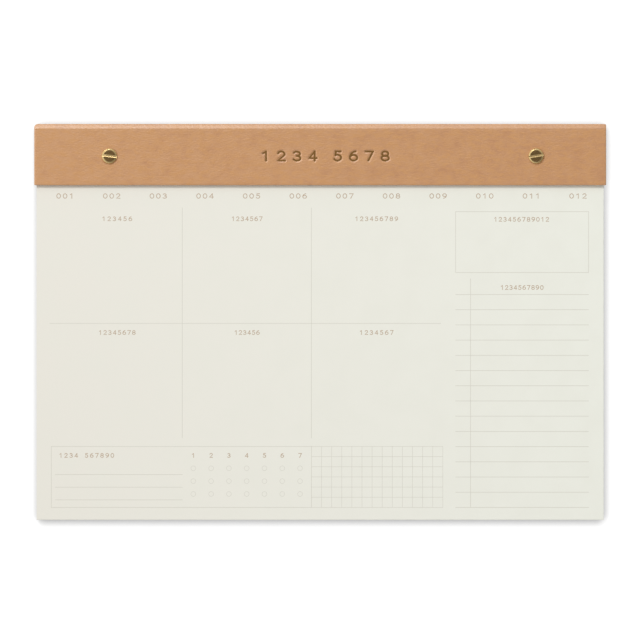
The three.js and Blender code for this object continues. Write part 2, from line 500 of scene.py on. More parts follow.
@dataclass(frozen=True)
class StudioFloor(Finish):
    """Matt white studio card.

    The eye sees pure white, and a soft shadow that stays close to the pad. Other light meets plain pale card.
    """

    name: str = "white studio card"
    card: str = "#C8C8C8"
    kept_shade: float = 0.2
    contact_mm: float = 6.0
    contact_share: float = 1.14
    # The contact shadow is felt for along a direction that leans from the zenith, mostly towards the head
    lean_up: float = 0.3
    lean_across: float = -0.075

    def draw(self, tree: bpy.types.NodeTree, shader: bpy.types.Node) -> None:
        """Draws the card: glowing white to the eye but for its shadow, and plain card to all other light.

        Args:
            tree: The material's tree.
            shader: Its principled shader, which draws the plain card.
        """
        shader.inputs["Base Color"].default_value = linear(self.card)
        shader.inputs["Roughness"].default_value = 1.0
        shader.inputs["Specular IOR Level"].default_value = 0.0
        leaning = add_node(
            tree, "ShaderNodeCombineXYZ", {"X": self.lean_across, "Y": self.lean_up, "Z": 1.0}
        ).outputs["Vector"]
        contact = add_node(
            tree,
            "ShaderNodeAmbientOcclusion",
            {"Distance": self.contact_mm * MM, "samples": 16},
            {"Normal": leaning},
        ).outputs["AO"]
        # A glow of strength 1 shows as pure white
        glow = add_node(
            tree, "ShaderNodeMapRange", {"To Min": 1 - self.contact_share, "To Max": 1.0}, {"Value": contact}
        ).outputs["Result"]
        white = add_node(tree, "ShaderNodeEmission", {}, {"Strength": glow}).outputs["Emission"]
        shade = [self.kept_shade] * 3 + [1.0]
        kept = add_node(tree, "ShaderNodeBsdfDiffuse", {"Color": shade}).outputs["BSDF"]
        shown = add_node(tree, "ShaderNodeAddShader", {}, {0: kept, 1: white}).outputs["Shader"]
        path = add_node(tree, "ShaderNodeLightPath").outputs
        seen = path["Is Camera Ray"]
        for ray in ("Is Glossy Ray", "Is Transmission Ray"):
            either = add_node(tree, "ShaderNodeMath", {"operation": "MAXIMUM"}, {0: seen, 1: path[ray]})
            seen = either.outputs["Value"]
        card = add_node(tree, "ShaderNodeMixShader", {}, {0: seen, 1: shader.outputs["BSDF"], 2: shown})
        tree.links.new(card.outputs["Shader"], tree.nodes["Material Output"].inputs["Surface"])


def new_object(name: str, mesh: bpy.types.Mesh, finish: Finish) -> bpy.types.Object:
    """Puts a mesh in the scene with one finish.

    Args:
        name: The piece's name.
        mesh: Its mesh, in metres in the pad's frame.
        finish: What it is made of.

    Returns:
        The new object.
    """
    piece = bpy.data.objects.new(name, mesh)
    bpy.context.scene.collection.objects.link(piece)
    mesh.materials.clear()
    mesh.materials.append(finish.material())
    return piece


def mesh_from(name: str, points: np.ndarray | Sequence, faces: Iterable[Sequence[int]]) -> bpy.types.Mesh:
    """Makes a mesh from points in millimetres.

    Args:
        name: The mesh's name.
        points: Rows of x, y and z in millimetres.
        faces: Corner numbers of each face.

    Returns:
        The mesh in metres.
    """
    mesh = bpy.data.meshes.new(name)
    mesh.from_pydata([tuple(c * MM for c in point) for point in points], [], [tuple(face) for face in faces])
    mesh.validate()
    return mesh


def smooth_but_sharp(mesh: bpy.types.Mesh, sharp_degrees: float) -> None:
    """Shades a mesh smooth and keeps its hard edges.

    Args:
        mesh: The mesh to shade.
        sharp_degrees: Edges that bend more than this stay hard.
    """
    mesh.shade_smooth()
    mesh.set_sharp_from_angle(angle=math.radians(sharp_degrees))


def settle(piece: bpy.types.Object) -> None:
    """Applies a piece's modifiers to its mesh.

    Args:
        piece: The piece, which keeps its name and loses its modifiers.
    """
    seen = piece.evaluated_get(bpy.context.evaluated_depsgraph_get())
    shaped = bpy.data.meshes.new_from_object(seen)
    piece.modifiers.clear()
    piece.data = shaped


def carve(piece: bpy.types.Object, cutters: Sequence[bpy.types.Mesh]) -> None:
    """Cuts closed meshes out of a piece.

    Args:
        piece: The closed piece to cut.
        cutters: The closed meshes that go, in the pad's frame.
    """
    tools = []
    for cutter in cutters:
        tool = bpy.data.objects.new(cutter.name, cutter)
        bpy.context.scene.collection.objects.link(tool)
        tools.append(tool)
        cut = piece.modifiers.new(cutter.name, "BOOLEAN")
        cut.operation = "DIFFERENCE"
        cut.solver = "MANIFOLD"
        cut.object = tool
    settle(piece)
    for tool in tools:
        bpy.data.objects.remove(tool)


def present(piece: bpy.types.Object, replaces: Sequence[str] = ()) -> None:
    """Hands a finished piece to the frame.

    Args:
        piece: The piece.
        replaces: The solids that it stands for.
    """
    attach(piece, BODY)
    if replaces:
        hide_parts(*replaces)
    LOG.info("%s: %d faces", piece.name, len(piece.data.polygons))


@dataclass(frozen=True)
class Block:
    """The lowest and highest corner of a node, in millimetres."""

    low: Vector
    high: Vector

    @classmethod
    def of_node(cls, node: str) -> "Block":
        """Reads a node's box from the frame."""
        low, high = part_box(node)
        return cls(Vector(low) / MM, Vector(high) / MM)

    @property
    def middle(self) -> Vector:
        """The middle of the box."""
        return (self.low + self.high) / 2


def arc(centre: Point, radii: Point, start: float, end: float, steps: int) -> list[Point]:
    """Points along an arc.

    Args:
        centre: The arc's centre.
        radii: Its half width and half height.
        start: The angle that it starts from, in degrees.
        end: The angle that it ends at.
        steps: How many steps it takes.

    Returns:
        steps + 1 points.
    """
    angles = [math.radians(start + (end - start) * i / steps) for i in range(steps + 1)]
    return [(centre[0] + radii[0] * math.cos(a), centre[1] + radii[1] * math.sin(a)) for a in angles]


def turned_mesh(name: str, profile: Sequence[Point], centre: Point, segments: int = 96) -> bpy.types.Mesh:
    """Turns a profile that starts and ends on the axis.

    Args:
        name: The mesh's name.
        profile: Radius and height of each point, in millimetres.
        centre: Where the axis stands in plan.
        segments: Steps round the axis.

    Returns:
        The closed mesh.
    """
    points, faces = [], []
    rings = profile[1:-1]
    for radius, height in rings:
        for i in range(segments):
            angle = 2 * math.pi * i / segments
            x, y = centre[0] + radius * math.cos(angle), centre[1] + radius * math.sin(angle)
            points.append((x, y, height))
    first, last = len(points), len(points) + 1
    points += [(*centre, profile[0][1]), (*centre, profile[-1][1])]
    for ring in range(len(rings) - 1):
        for i in range(segments):
            j = (i + 1) % segments
            base, above = ring * segments, (ring + 1) * segments
            faces.append((base + i, base + j, above + j, above + i))
    top = (len(rings) - 1) * segments
    for i in range(segments):
        j = (i + 1) % segments
        faces.append((first, j, i))
        faces.append((last, top + i, top + j))
    return mesh_from(name, points, faces)


class Numeral(Enum):
    """The middle lines of each numeral, in a box one wide and one high."""

    ZERO = "0"
    ONE = "1"
    TWO = "2"
    THREE = "3"
    FOUR = "4"
    FIVE = "5"
    SIX = "6"
    SEVEN = "7"
    EIGHT = "8"
    NINE = "9"

    def lines(self) -> list[list[Point]]:
        """Gives the numeral's strokes.

        Returns:
            One list of points for each stroke. A closed stroke ends where it starts.
        """
        tail = [(0.0, 0.33), (0.02, 0.5), (0.12, 0.68), (0.3, 0.84), (0.52, 0.95), (0.78, 1.0)]
        six = [arc((0.5, 0.31), (0.5, 0.31), 0, 360, 28), tail]
        shapes = {
            Numeral.ZERO: [arc((0.5, 0.5), (0.5, 0.5), 0, 360, 32)],
            Numeral.ONE: [[(0.15, 0.78), (0.58, 1.0), (0.58, 0.0)]],
            Numeral.TWO: [arc((0.5, 0.72), (0.45, 0.28), 165, -38, 18) + [(0.05, 0.0), (1.0, 0.0)]],
            Numeral.THREE: [
                arc((0.46, 0.75), (0.42, 0.23), 150, -90, 16),
                arc((0.46, 0.25), (0.5, 0.25), 90, -150, 18),
            ],
            Numeral.FOUR: [[(0.74, 1.0), (0.0, 0.27), (1.0, 0.27)], [(0.74, 1.0), (0.74, 0.0)]],
            Numeral.FIVE: [[(0.9, 1.0), (0.22, 1.0)] + arc((0.46, 0.32), (0.5, 0.32), 124, -150, 20)],
            Numeral.SIX: six,
            Numeral.SEVEN: [[(0.0, 1.0), (1.0, 1.0), (0.36, 0.0)]],
            Numeral.EIGHT: [
                arc((0.5, 0.75), (0.42, 0.25), 0, 360, 24),
                arc((0.5, 0.26), (0.5, 0.26), 0, 360, 28),
            ],
            Numeral.NINE: [[(1 - u, 1 - v) for u, v in line] for line in six],
        }
        return shapes[self]


@dataclass(frozen=True)
class NumeralStyle:
    """How numerals are drawn, in millimetres: their box, their stroke and the pitch from one to the next.

    gap is the pitch across a space.
    """

    height: float
    width: float
    stroke: float
    pitch: float
    gap: float = 0.0

    def write(self, text: str, centre: Point) -> list[list[Point]]:
        """Sets out a number about a point.

        Args:
            text: The figures. A space opens the gap.
            centre: The middle of the whole number.

        Returns:
            The middle lines of all the strokes.
        """
        inset = self.stroke / 2
        left = centre[0] - self.length(text) / 2
        lines = []
        for figure in text:
            if figure == " ":
                left += self.gap - self.pitch
                continue
            for line in Numeral(figure).lines():
                lines.append([
                    (
                        left + inset + u * (self.width - self.stroke),
                        centre[1] - self.height / 2 + inset + v * (self.height - self.stroke),
                    )
                    for u, v in line
                ])
            left += self.pitch
        return lines

    def length(self, text: str) -> float:
        """Says how long a number is."""
        figures = len(text.replace(" ", ""))
        return self.pitch * (figures - 1) + self.width + (self.gap - self.pitch) * text.count(" ")


@dataclass
class InkedShapes:
    """Flat strokes of one colour, each a thin closed prism."""

    base: float
    thickness: float
    height_step: float = 0.0015
    height_steps: int = 4
    points: list[tuple[float, float, float]] = field(default_factory=list)
    faces: list[tuple[int, ...]] = field(default_factory=list)
    laid: int = 0

    def stroke(self, line: Sequence[Point], width: float) -> None:
        """Adds one stroke of even width.

        Args:
            line: Its middle line. A line that ends where it starts is closed.
            width: The stroke's width.
        """
        path = [Vector(point) for point in line]
        closed = (path[0] - path[-1]).length < 1e-6
        if closed:
            path = path[:-1]
        count = len(path)
        rim = []
        for i, here in enumerate(path):
            before = path[i - 1] if closed or i > 0 else None
            after = path[(i + 1) % count] if closed or i < count - 1 else None
            into = (here - before).normalized() if before is not None else None
            out = (after - here).normalized() if after is not None else None
            if into is None or out is None:
                along = out if into is None else into
                push = Vector((-along.y, along.x)) * (width / 2)
                # A free end stands out by half the stroke, so that the numeral fills its height
                end = along * (width / 2) * (-1 if into is None else 1)
                rim.append((here + push + end, here - push + end))
                continue
            middle = into + out
            normal = Vector((-middle.y, middle.x)).normalized()
            square = Vector((-into.y, into.x))
            # A sharp bend is blunted, so that its corner stays near the line
            reach = min(width / 2 / max(normal.dot(square), 0.2), width * 0.9)
            rim.append((here + normal * reach, here - normal * reach))
        start = len(self.points)
        # Crossing strokes lie at their own heights, so no two faces share a plane
        self.laid += 1
        top = self.base + self.thickness + self.height_step * (self.laid % self.height_steps)
        for left, right in rim:
            for height in (self.base, top):
                self.points.append((left.x, left.y, height))
                self.points.append((right.x, right.y, height))
        for i in range(count if closed else count - 1):
            a, b = start + 4 * i, start + 4 * ((i + 1) % count)
            self.faces.append((a + 2, a + 3, b + 3, b + 2))
            self.faces.append((a, b, b + 1, a + 1))
            self.faces.append((a, a + 2, b + 2, b))
            self.faces.append((a + 1, b + 1, b + 3, a + 3))
        if not closed:
            last = start + 4 * (count - 1)
            self.faces.append((start, start + 1, start + 3, start + 2))
            self.faces.append((last, last + 2, last + 3, last + 1))

    def mesh(self, name: str) -> bpy.types.Mesh:
        """Gives all the strokes as one mesh."""
        return mesh_from(name, self.points, self.faces)


@dataclass
class LeatheretteCover:
    """The folded cover: a U section swept along the head, stamped, creased and punched.

    Sizes are in millimetres. end_reach and end_inset round the ends, and hidden_share is how far the faces
    out of sight take part in that. fold_lip is the width and the drop of the small curve between the pressed
    fold and the panel. wave_length holds for the waves along the head and across it.
    """

    finish: Leatherette = field(default_factory=Leatherette)
    caliper: float = 0.5
    flap_depth: float = 30.0
    turn_in: float = 12.0
    front_radius: float = 2.4
    rear_radius: float = 2.0
    hem_radius: float = 0.45
    inner_radius: float = 0.3
    end_reach: float = 1.0
    end_inset: float = 0.35
    hidden_share: float = 0.5
    fade_reach: float = 3.0
    left_corner: float = 2.0
    right_corner: float = 0.5
    foot_corner: float = 0.2
    corner_reach: float = 4.0
    bevel_degrees: float = 22.0
    bevel_start: float = 0.75
    fold_width: float = 2.62
    fold_height: float = 1.7
    fold_lip: Point = (0.25, 0.06)
    hole_radius: float = 2.75
    overrun: float = 2.0
    station_step: float = 1.1
    stamp: NumeralStyle = NumeralStyle(height=5.9, width=4.9, stroke=0.95, pitch=8.6, gap=13.5)
    stamp_text: str = "1234 5678"
    stamp_right: float = 2.8
    stamp_depth: float = 0.32
    stamp_wall: float = 0.72
    stamp_step: float = 0.15
    stamp_border: Point = (1.6, 1.3)
    crease_from_fold: float = 0.4
    crease_depth: float = 0.05
    crease_half_width: float = 0.28
    wave_height: float = 0.035
    wave_length: Point = (21.0, 9.0)
    wave_seed: float = 3.7
    calm_border: float = 3.0
    still_end: float = 0.8
    dimple_depth: float = 0.1
    dimple_reach: float = 0.9
    dimple_under: float = 0.3
    foil_caliper: float = 0.05
    foil_sink: float = 0.02
    foil_spread: float = 0.06

    def __post_init__(self) -> None:
        """Reads the places that the frame fixes."""
        self.box = Block.of_node("leatherette_cover")
        self.sheets = Block.of_node("sheet_block")
        self.backing = Block.of_node("backing_board")
        self.stiffener = Block.of_node("stiffener_board")
        screws = [Block.of_node(f"binding_screw_{side}") for side in ("left", "right")]
        self.screws = [(screw.middle.x, screw.middle.y) for screw in screws]
        self.head_radius = (screws[0].high.x - screws[0].low.x) / 2
        self.stamp_centre = (self.stamp_right, self.screws[0][1])
        self.stamp_lines = self.stamp.write(self.stamp_text, self.stamp_centre)
        self.half_length = self.box.high.x

    def section(self) -> list[tuple[float, float, float]]:
        """Outlines the U, counter-clockwise in Y and Z.

        Returns:
            Y, Z and how far the point takes part in the rounding of the ends, from 0 to 1.
        """
        spine, top, bottom = self.box.high.y, self.box.high.z, self.box.low.z
        panel_foot, flap_foot = self.box.low.y, self.box.high.y - self.flap_depth
        inside = spine - 2 * self.caliper
        hem, rear, inner = self.hem_radius, self.rear_radius, self.inner_radius
        flap_top, panel_bottom = self.backing.low.z, self.sheets.high.z
        outline: list[tuple[float, float, float]] = []

        def run(points: Iterable[Point], weight: float = 1.0) -> None:
            """Adds points that all take the same part."""
            outline.extend((y, z, weight) for y, z in points)

        def straight(start: Point, end: Point, step: float) -> list[Point]:
            """Points between two ends, about one step apart."""
            count = max(2, round(math.dist(start, end) / step))
            return [
                (start[0] + (end[0] - start[0]) * i / count, start[1] + (end[1] - start[1]) * i / count)
                for i in range(1, count)
            ]

        def fading(start: Point, end: Point, away: bool) -> None:
            """Adds a straight whose part fades away from its start, or rises up to its end."""
            for y, z in straight(start, end, 1.5):
                reach = min(1.0, math.dist((y, z), start if away else end) / self.fade_reach)
                outline.append((y, z, self.hidden_share * (1 - reach)))

        run(arc((flap_foot + hem, bottom + hem), (hem, hem), 180, 270, 4), self.hidden_share)
        run(straight((flap_foot + hem, bottom), (spine - rear, bottom), 2.0), self.hidden_share)
        run(arc((spine - rear, bottom + rear), (rear, rear), -90, 0, 8))
        run(straight((spine, bottom + rear), (spine, top - self.fold_height - 0.05), 1.4))
        run(self.pressed_fold(spine, top))
        # Close rows beside the fold, where the crease lies
        fine = [(spine - self.fold_width - offset, top) for offset in (0.12, 0.26, 0.4, 0.55, 0.75, 1.1)]
        run(fine)
        run(straight(fine[-1], (panel_foot + hem, top), 1.1))
        run(arc((panel_foot + hem, top - hem), (hem, hem), 90, 180, 5))
        run(straight((panel_foot, top - hem), (panel_foot, panel_bottom + hem), 0.5))
        run(arc((panel_foot + hem, panel_bottom + hem), (hem, hem), 180, 270, 4), self.hidden_share)
        fading((panel_foot + hem, panel_bottom), (inside - inner, panel_bottom), away=True)
        run(reversed(arc((inside - inner, panel_bottom - inner), (inner, inner), 0, 90, 3)), 0.0)
        run(straight((inside, panel_bottom - inner), (inside, flap_top + inner), 2.0), 0.0)
        run(reversed(arc((inside - inner, flap_top + inner), (inner, inner), -90, 0, 3)), 0.0)
        fading((inside - inner, flap_top), (flap_foot + hem, flap_top), away=False)
        run(arc((flap_foot + hem, flap_top - hem), (hem, hem), 90, 180, 4), self.hidden_share)
        kept = [outline[0]]
        for point in outline[1:]:
            if math.dist(point[:2], kept[-1][:2]) > 1e-4:
                kept.append(point)
        return kept

    def pressed_fold(self, spine: float, top: float) -> list[Point]:
        """Outlines the front fold, which the press flattened to a bevel.

        Args:
            spine: Y of the spine's face.
            top: Z of the panel's face.

        Returns:
            Points from the spine up to the panel.
        """
        slope = math.tan(math.radians(self.bevel_degrees))
        lip_width, lip_height = self.fold_lip
        out, back = self.bevel_start, self.fold_width - lip_width
        low = top - lip_height - (back - out) * slope

        def bend(start: Point, pull: Point, end: Point, steps: int) -> list[Point]:
            """Points along a curve that leaves its start and meets its end towards one pull."""
            shares = [i / steps for i in range(steps + 1)]
            return [
                tuple((1 - s) ** 2 * a + 2 * s * (1 - s) * b + s * s * c for a, b, c in zip(start, pull, end))
                for s in shares
            ]

        start = (spine, top - self.fold_height)
        outer = bend(start, (spine, low - out * slope), (spine - out, low), 8)
        flat = [(spine - y, low + (y - out) * slope) for y in (1.1, 1.5, 1.9)]
        lip = (spine - back, top - lip_height)
        inner = bend(lip, (spine - back - 0.14, top), (spine - self.fold_width, top), 3)
        return outer + flat + inner

    def stations(self) -> list[tuple[float, float]]:
        """Sets out the sweep's stations along X.

        Returns:
            Each station's place, with its inset for the rounded ends.
        """
        straight_half = self.half_length - self.end_reach
        count = round(2 * straight_half / self.station_step)
        middle = [(-straight_half + 2 * straight_half * i / count, 0.0) for i in range(count + 1)]
        rounding = []
        for i in range(1, 6):
            angle = math.radians(90 * i / 5)
            reach = straight_half + self.end_reach * math.sin(angle)
            rounding.append((reach, self.end_inset * (1 - math.cos(angle))))
        left = [(-reach, inset) for reach, inset in reversed(rounding)]
        return left + middle + rounding

    def corner_cut(self, x: float, y: float) -> float:
        """Says how far a corner, rounded in plan, draws in the end at y.

        Args:
            x: Any place on the end's side of the middle.
            y: The place up the page.

        Returns:
            The draw, which is 0 between the corners.
        """
        radius = self.left_corner if x < 0 else self.right_corner
        into_corner = y - (self.box.high.y - radius)
        into_foot = (self.box.low.y + self.foot_corner) - y
        if into_corner > 0:
            return radius - math.sqrt(max(radius**2 - into_corner**2, 0.0))
        if into_foot > 0:
            return self.foot_corner - math.sqrt(max(self.foot_corner**2 - into_foot**2, 0.0))
        return 0.0

    def swept(self) -> bmesh.types.BMesh:
        """Sweeps the section along the head.

        Returns:
            The closed U, in millimetres.
        """
        section = self.section()
        count = len(section)
        normals = []
        for i in range(count):
            (y0, z0, _), (y1, z1, _) = section[i - 1], section[(i + 1) % count]
            along = Vector((y1 - y0, z1 - z0)).normalized()
            normals.append(Vector((along.y, -along.x)))
        mesh = bmesh.new()
        rows = []
        for x, inset in self.stations():
            row = []
            for (y, z, weight), normal in zip(section, normals):
                moved = Vector((y, z)) - normal * inset * weight
                into_end = max(0.0, abs(x) - (self.half_length - self.corner_reach)) / self.corner_reach
                drawn = abs(x) - self.corner_cut(x, moved.x) * into_end
                row.append(mesh.verts.new((math.copysign(drawn, x), moved.x, moved.y)))
            rows.append(row)
        for here, following in zip(rows, rows[1:]):
            for i in range(count):
                j = (i + 1) % count
                mesh.faces.new((here[i], here[j], following[j], following[i]))
        for row in (rows[0], rows[-1]):
            plan = [Vector((vert.co.y, vert.co.z)) for vert in row]
            loop = [(i, (i + 1) % count) for i in range(count)]
            points, _, faces, sources, _, _ = delaunay_2d_cdt(plan, loop, [], 1, 1e-6)
            if len(points) != count:
                raise ValueError("the end's outline crosses itself, so end_inset is too large")
            for face in faces:
                mesh.faces.new([row[sources[i][0]] for i in face])
        bmesh.ops.recalc_face_normals(mesh, faces=mesh.faces)
        return mesh

    def refine_stamp_field(self, mesh: bmesh.types.BMesh) -> None:
        """Gives the stamped field of the panel a fine skin.

        Args:
            mesh: The swept U, changed in place.
        """
        top = self.box.high.z
        middle_x, middle_y = self.stamp_centre
        half_x = self.stamp.length(self.stamp_text) / 2 + self.stamp_border[0]
        half_y = self.stamp.height / 2 + self.stamp_border[1]
        field_faces = []
        for face in mesh.faces:
            centre = face.calc_center_median()
            if (
                abs(centre.z - top) < LEVEL_TOLERANCE
                and abs(centre.x - middle_x) < half_x
                and abs(centre.y - middle_y) < half_y
            ):
                field_faces.append(face)
        bmesh.ops.delete(mesh, geom=field_faces, context="FACES")
        rim_edges = [edge for edge in mesh.edges if edge.is_boundary]
        rim = list(dict.fromkeys(vert for edge in rim_edges for vert in edge.verts))
        number = {vert: i for i, vert in enumerate(rim)}
        edges = [(number[edge.verts[0]], number[edge.verts[1]]) for edge in rim_edges]
        low_x, high_x = min(v.co.x for v in rim), max(v.co.x for v in rim)
        low_y, high_y = min(v.co.y for v in rim), max(v.co.y for v in rim)
        margin = 2 * self.stamp_step
        columns = np.arange(low_x + margin, high_x - margin, self.stamp_step)
        rows = np.arange(low_y + margin, high_y - margin, self.stamp_step)
        plan = [Vector(v.co.xy) for v in rim] + [Vector((x, y)) for x in columns for y in rows]
        points, _, faces, sources, _, _ = delaunay_2d_cdt(plan, edges, [], 1, 1e-6)
        corners = []
        for point, origin in zip(points, sources):
            known = [i for i in origin if i < len(rim)]
            corners.append(rim[known[0]] if known else mesh.verts.new((point.x, point.y, top)))
        for face in faces:
            mesh.faces.new([corners[i] for i in face])

    def stamped(self, plan: np.ndarray) -> np.ndarray:
        """Says how deep the stamp pressed at each point.

        Args:
            plan: Rows of x and y.

        Returns:
            The depth at each row.
        """
        nearest = np.full(len(plan), np.inf)
        for line in self.stamp_lines:
            for start, end in zip(line, line[1:]):
                a, b = np.array(start), np.array(end)
                along = b - a
                share = np.clip((plan - a) @ along / max(along @ along, 1e-12), 0, 1)
                nearest = np.minimum(nearest, np.linalg.norm(plan - (a + share[:, None] * along), axis=1))
        outside = nearest - self.stamp.stroke / 2
        return self.stamp_depth * (1 - smooth_step(outside / self.stamp_wall))

    def press(self, mesh: bmesh.types.BMesh) -> None:
        """Moves the front skin: the stamp, the crease, slow waves and a dimple round each screw.

        Args:
            mesh: The cover, changed in place.
        """
        top = self.box.high.z
        fold_line = self.box.high.y - self.fold_width
        foot_line = self.box.low.y + self.hem_radius
        reach = self.half_length - self.still_end
        skin = [v for v in mesh.verts if abs(v.co.z - top) < LEVEL_TOLERANCE and abs(v.co.x) < reach]
        plan = np.array([v.co.xy for v in skin])
        drop = self.stamped(plan)
        crease = fold_line - self.crease_from_fold
        drop += self.crease_depth * np.exp(-(((plan[:, 1] - crease) / self.crease_half_width) ** 2))
        for centre in self.screws:
            beyond = np.linalg.norm(plan - np.array(centre), axis=1) - self.head_radius
            dimple = self.dimple_depth * np.exp(-((beyond / self.dimple_reach) ** 2))
            # The panel stays flat under the middle of the screw's head
            drop += np.where(beyond > -self.dimple_under, dimple, 0.0)
        to_border = np.minimum(
            np.minimum(fold_line - plan[:, 1], plan[:, 1] - foot_line),
            self.half_length - self.end_reach - np.abs(plan[:, 0]),
        )
        calm = smooth_step(to_border / self.calm_border)
        long, wide = self.wave_length
        waves = [noise.noise(Vector((x / long, y / wide, self.wave_seed))) for x, y in plan]
        drop += self.wave_height * calm * (np.array(waves) + 0.5)
        for vert, depth in zip(skin, drop):
            vert.co.z -= depth

    def hollows(self) -> list[bpy.types.Mesh]:
        """Makes what is cut from the swept U.

        Returns:
            The stiffener's pocket, the space inside the hems and the two punched holes.
        """
        pocket = bmesh.new()
        bmesh.ops.create_cube(pocket, size=1.0)
        size = self.stiffener.high - self.stiffener.low
        for vert in pocket.verts:
            vert.co = self.stiffener.middle + Vector(a * b for a, b in zip(vert.co, size))
        spine = self.box.high.y - self.caliper
        low, high = self.box.low.z + self.caliper, self.stiffener.high.z
        rear, front = self.rear_radius - self.caliper, self.front_radius - self.caliper
        flap_hem = self.box.high.y - self.flap_depth + self.turn_in
        panel_hem = self.box.low.y + self.turn_in
        middle = (self.backing.low.z + self.sheets.high.z) / 2
        outline = (
            [(flap_hem, low)]
            + arc((spine - rear, low + rear), (rear, rear), -90, 0, 6)
            + arc((spine - front, high - front), (front, front), 0, 90, 6)
            + [(panel_hem, high), (panel_hem, middle), (flap_hem, middle)]
        )
        reach = self.half_length - self.turn_in
        inside = bmesh.new()
        near = [inside.verts.new((-reach, y, z)) for y, z in outline]
        far = [inside.verts.new((reach, y, z)) for y, z in outline]
        inside.faces.new(list(reversed(near)))
        inside.faces.new(far)
        for i in range(len(outline)):
            j = (i + 1) % len(outline)
            inside.faces.new((near[i], near[j], far[j], far[i]))
        meshes = []
        for name, shape in (("pocket", pocket), ("inside_hems", inside)):
            bmesh.ops.recalc_face_normals(shape, faces=shape.faces)
            for vert in shape.verts:
                vert.co *= MM
            meshes.append(bpy.data.meshes.new(name))
            shape.to_mesh(meshes[-1])
            shape.free()
        below, above = self.box.low.z - self.overrun, self.box.high.z + self.overrun
        drill = [(0, below), (self.hole_radius, below), (self.hole_radius, above), (0, above)]
        for centre in self.screws:
            meshes.append(turned_mesh("hole", drill, centre, 48))
        return meshes

    def foil(self) -> bpy.types.Object:
        """Lays the foil on the floor of the stamped figures.

        Returns:
            The foil.
        """
        floor = self.box.high.z - self.stamp_depth - self.wave_height
        strokes = InkedShapes(base=floor - self.foil_sink, thickness=self.foil_caliper)
        for line in self.stamp_lines:
            strokes.stroke(line, self.stamp.stroke + self.foil_spread)
        piece = new_object("stamped_numbers", strokes.mesh("stamped_numbers"), StampedFoil())
        present(piece)
        return piece

    def build(self) -> list[bpy.types.Object]:
        """Builds the cover and its foil.

        Returns:
            Both pieces.
        """
        mesh = self.swept()
        self.refine_stamp_field(mesh)
        self.press(mesh)
        for vert in mesh.verts:
            vert.co *= MM
        skin = bpy.data.meshes.new("head_cover")
        mesh.to_mesh(skin)
        mesh.free()
        piece = new_object("head_cover", skin, self.finish)
        carve(piece, self.hollows())
        smooth_but_sharp(piece.data, 38)
        present(piece, ["leatherette_cover"])
        return [piece, self.foil()]


@dataclass
class SheetStack:
    """The cut sheets, each its own leaf, squared up as well as a guillotined pad is."""

    leaves: int = 52
    air: float = 0.006
    jog: float = 0.09
    skew_degrees: float = 0.012
    hole_radius: float = 2.75
    hole_steps: int = 20

    def plan(self, centres: Sequence[Point], low: Vector, high: Vector) -> tuple[list[Point], list, list]:
        """Triangulates one punched leaf.

        Args:
            centres: Where the holes are.
            low: The leaf's lowest corner.
            high: Its highest corner.

        Returns:
            The points, the triangles and the rim and hole loops.
        """
        loops = [[(low.x, low.y), (high.x, low.y), (high.x, high.y), (low.x, high.y)]]
        for centre in centres:
            loops.append(arc(centre, (self.hole_radius, self.hole_radius), 360, 0, self.hole_steps)[:-1])
        points, edges, rings = [], [], []
        for loop in loops:
            first = len(points)
            ring = list(range(first, first + len(loop)))
            points += loop
            edges += [(ring[i], ring[(i + 1) % len(ring)]) for i in range(len(ring))]
            rings.append(ring)
        _, _, faces, _, _, _ = delaunay_2d_cdt([Vector(p) for p in points], edges, [], 1, 1e-6)
        kept = []
        for face in faces:
            middle = [sum(points[i][axis] for i in face) / 3 for axis in (0, 1)]
            if all(math.dist(middle, centre) > self.hole_radius * 0.99 for centre in centres):
                kept.append(tuple(face))
        return points, kept, rings

    def build(self) -> bpy.types.Object:
        """Stacks the leaves.

        Returns:
            The stack.
        """
        box = Block.of_node("sheet_block")
        posts = [Block.of_node(f"binding_post_{side}").middle for side in ("left", "right")]
        plan, triangles, rings = self.plan([(p.x, p.y) for p in posts], box.low, box.high)
        pitch = (box.high.z - box.low.z) / self.leaves
        chance = np.random.default_rng(52)
        points, faces = [], []
        for leaf in range(self.leaves):
            top = box.high.z - leaf * pitch
            shift = chance.uniform(-self.jog, self.jog, 2) * (leaf > 0)
            turn = math.radians(chance.uniform(-self.skew_degrees, self.skew_degrees)) * (leaf > 0)
            first = len(points)
            for height in (top, top - pitch + self.air):
                for x, y in plan:
                    points.append((x - y * turn + shift[0], y + x * turn + shift[1], height))
            below = first + len(plan)
            faces += [tuple(first + i for i in face) for face in triangles]
            faces += [tuple(below + i for i in reversed(face)) for face in triangles]
            for ring in rings:
                for i, j in zip(ring, ring[1:] + ring[:1]):
                    faces.append((first + i, below + i, below + j, first + j))
        piece = new_object("sheet_stack", mesh_from("sheet_stack", points, faces), TextPaper())
        present(piece, ["sheet_block"])
        return piece


